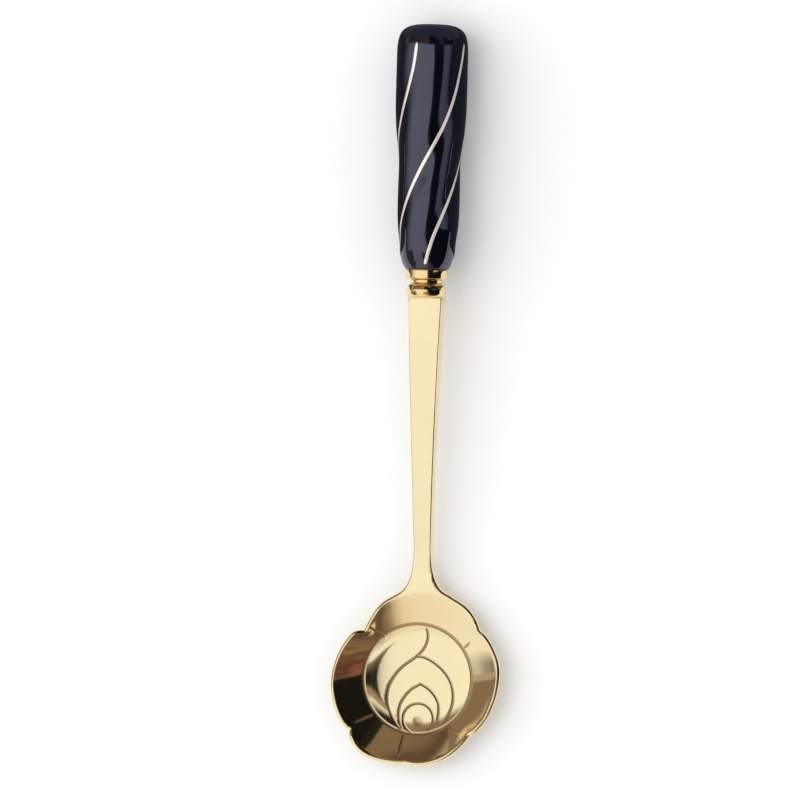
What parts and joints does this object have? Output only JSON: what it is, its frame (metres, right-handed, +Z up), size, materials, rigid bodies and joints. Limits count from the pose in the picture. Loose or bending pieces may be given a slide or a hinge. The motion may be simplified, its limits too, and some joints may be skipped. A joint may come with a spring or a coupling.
{
  "type": "spoon",
  "caption": "Rose-shaped coffee spoon: gold-tone stamped metal bowl and stem, two rings and a dark glazed ceramic handle with twisted gold lines",
  "frame": {"origin": "middle of the bounding box in X and Y, on the table plane under the spoon", "axes": "+Y runs from the bowl to the handle, +Z points up out of the bowl, +X is to the right with the handle pointing away"},
  "size_m": [0.036, 0.1546, 0.015],
  "materials": {
    "gold_metal": "polished",
    "gold_ring": "polished",
    "dark_glaze": "gloss",
    "gold_line": "satin",
    "adhesive": "matte"
  },
  "bodies": {
    "root": {"bowl_and_stem": "gold_metal", "bead_ring": "gold_ring", "spacer_ring": "gold_ring", "collar_ring": "gold_ring", "ceramic_handle": "dark_glaze", "gold_spiral_lines": "gold_line", "adhesive_fill": "adhesive"}
  },
  "joints": []
}
